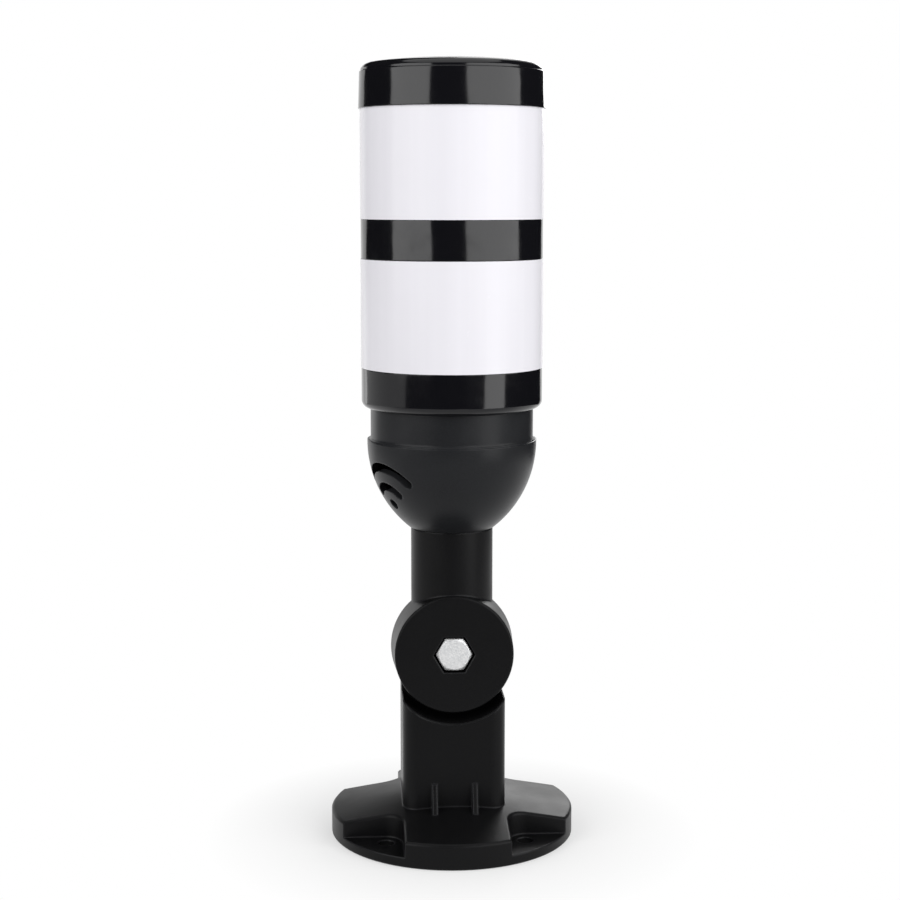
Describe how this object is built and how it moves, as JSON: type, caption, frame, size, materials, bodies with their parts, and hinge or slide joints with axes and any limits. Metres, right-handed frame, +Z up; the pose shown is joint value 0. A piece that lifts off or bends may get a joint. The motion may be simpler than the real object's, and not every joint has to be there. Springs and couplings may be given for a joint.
{
  "type": "stack light",
  "caption": "Stack light on a folding foot: milk-white lamp tiers between gloss black rings over a bowl-shaped sounder housing, on a neck that tilts on a clamped bolt.",
  "frame": {"origin": "centre of the foot's underside, on the plane it stands on", "axes": "+Z up along the lamp's axis, -Y the front, where the bolt's head shows, +X to the right seen from the front"},
  "size_m": [0.068, 0.068, 0.2154],
  "materials": {
    "matte_black": "matte moulded ABS with a fine grain",
    "satin_charcoal": "satin moulded plastic",
    "gloss_black": "polished moulded ABS",
    "milk_white": "smooth milk-white diffusing acrylic",
    "zinc": "bright zinc plate",
    "nut_plastic": "matte nylon",
    "seal_rubber": "matte",
    "board_green": "solder mask on glass-fibre board",
    "board_white": "white solder mask on glass-fibre board",
    "led_lens": "phosphor filled resin",
    "plug_cream": "moulded nylon",
    "sounder_black": "moulded, slightly glossy",
    "component_black": "moulded epoxy",
    "terminal_green": "moulded polyamide"
  },
  "bodies": {
    "base": {"base_bracket": "matte_black"},
    "head": {"fold_arm": "matte_black", "sounder_housing": "satin_charcoal", "collar": "satin_charcoal", "base_ring": "gloss_black", "middle_ring": "gloss_black", "top_cap": "gloss_black", "lower_lens": "milk_white", "upper_lens": "milk_white", "joint_bolt": "zinc", "joint_washer": "zinc", "joint_spring_washer": "zinc", "joint_nut": "zinc", "board_screws": "zinc", "ring_screws": "zinc", "neck_nut": "nut_plastic", "seal_1": "seal_rubber", "seal_2": "seal_rubber", "seal_3": "seal_rubber", "seal_4": "seal_rubber", "driver_board": "board_green", "lower_base_board": "board_green", "upper_base_board": "board_green", "lower_led_board": "board_white", "upper_led_board": "board_white", "lower_leds": "led_lens", "upper_leds": "led_lens", "lower_connector": "plug_cream", "upper_connector": "plug_cream", "link_header": "plug_cream", "sounder": "sounder_black", "driver_parts": "component_black", "terminal_block": "terminal_green"}
  },
  "joints": [
    {"name": "tilt", "type": "hinge", "parent": "base", "child": "head", "pos_m": [0, 0, 0.0533], "axis": [0, 1, 0], "range_deg": [-90, 90]}
  ]
}
